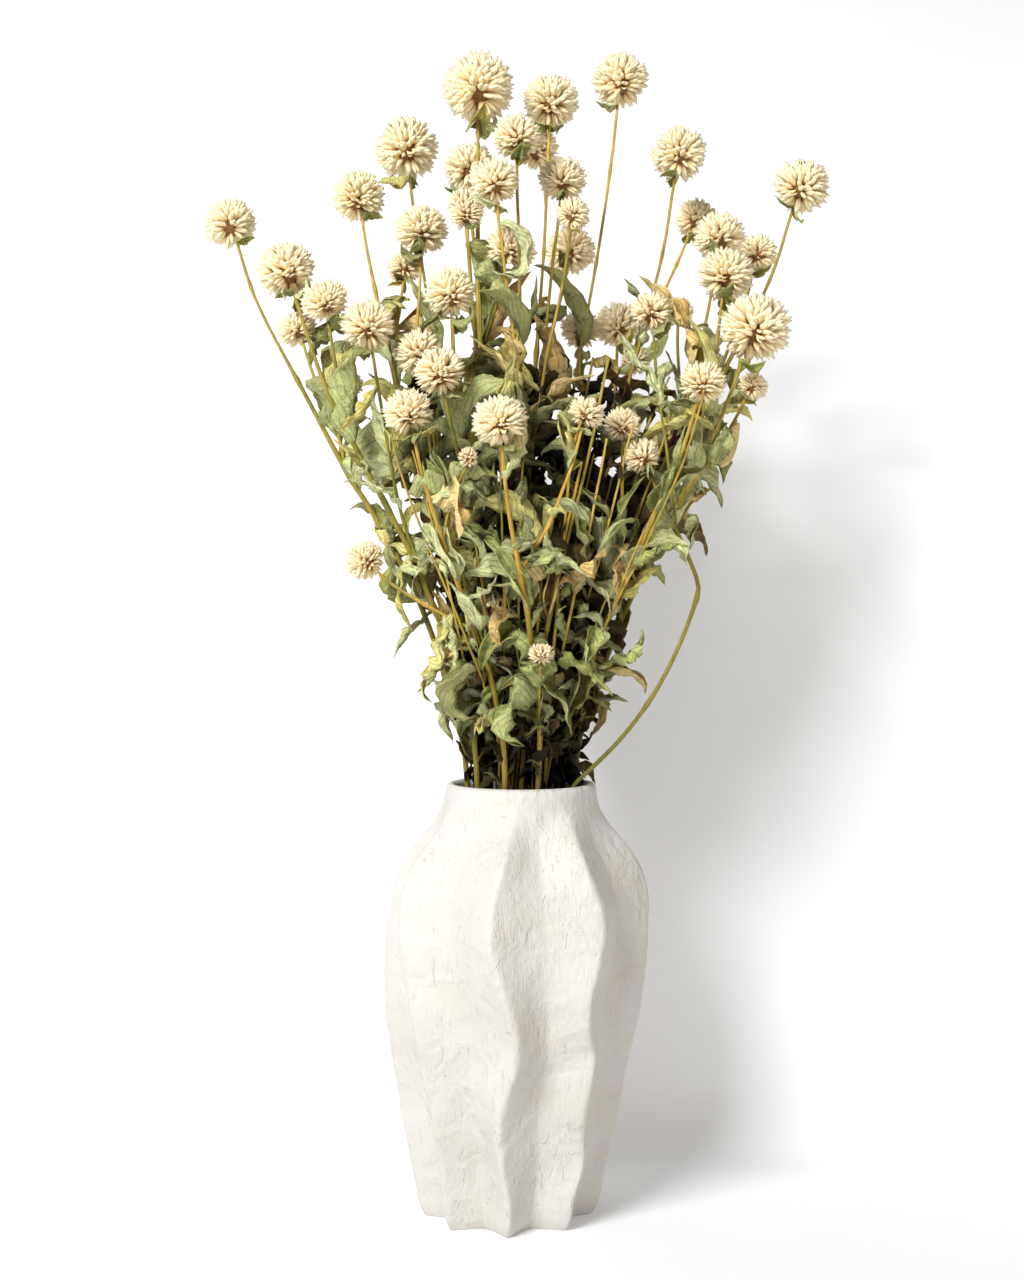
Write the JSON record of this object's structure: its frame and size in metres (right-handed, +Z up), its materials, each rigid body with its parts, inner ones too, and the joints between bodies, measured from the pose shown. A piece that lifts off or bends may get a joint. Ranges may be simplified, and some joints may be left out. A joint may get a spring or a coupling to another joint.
{
  "type": "dried flower arrangement",
  "caption": "Dried bunch of cream globe amaranth with crumpled leaves, standing in a white hand-built ceramic vase with wavy upright ridges and a round neck.",
  "frame": {"origin": "centre of the vase's foot, on the surface it stands on", "axes": "+Z up along the vase and the stems, +X to the right and -Y to the viewer when the fuller front of the bunch is faced"},
  "size_m": [0.2985, 0.191, 0.5752],
  "materials": {
    "ceramic": "matte",
    "dried_stem": "matte",
    "papery_bloom": "matte"
  },
  "bodies": {
    "root": {"vase": "ceramic", "stem_01": "dried_stem", "stem_02": "dried_stem", "stem_03": "dried_stem", "stem_04": "dried_stem", "stem_05": "dried_stem", "stem_06": "dried_stem", "stem_07": "dried_stem", "stem_08": "dried_stem", "stem_09": "dried_stem", "stem_10": "dried_stem", "stem_11": "dried_stem", "stem_12": "dried_stem", "stem_13": "dried_stem", "stem_14": "dried_stem", "stem_15": "dried_stem", "stem_16": "dried_stem", "flower_01": "papery_bloom", "flower_02": "papery_bloom", "flower_03": "papery_bloom", "flower_04": "papery_bloom", "flower_05": "papery_bloom", "flower_06": "papery_bloom", "flower_07": "papery_bloom", "flower_08": "papery_bloom", "flower_09": "papery_bloom", "flower_10": "papery_bloom", "flower_11": "papery_bloom", "flower_12": "papery_bloom", "flower_13": "papery_bloom", "flower_14": "papery_bloom", "flower_15": "papery_bloom", "flower_16": "papery_bloom", "flower_17": "papery_bloom", "flower_18": "papery_bloom", "flower_19": "papery_bloom", "flower_20": "papery_bloom", "flower_21": "papery_bloom", "flower_22": "papery_bloom", "flower_23": "papery_bloom", "flower_24": "papery_bloom", "flower_25": "papery_bloom", "flower_26": "papery_bloom", "flower_27": "papery_bloom", "flower_28": "papery_bloom", "flower_29": "papery_bloom", "flower_30": "papery_bloom", "flower_31": "papery_bloom", "flower_32": "papery_bloom", "flower_33": "papery_bloom", "flower_34": "papery_bloom", "flower_35": "papery_bloom", "flower_36": "papery_bloom", "flower_37": "papery_bloom", "flower_38": "papery_bloom", "flower_39": "papery_bloom", "flower_40": "papery_bloom", "flower_41": "papery_bloom", "flower_42": "papery_bloom", "flower_43": "papery_bloom"}
  },
  "joints": []
}
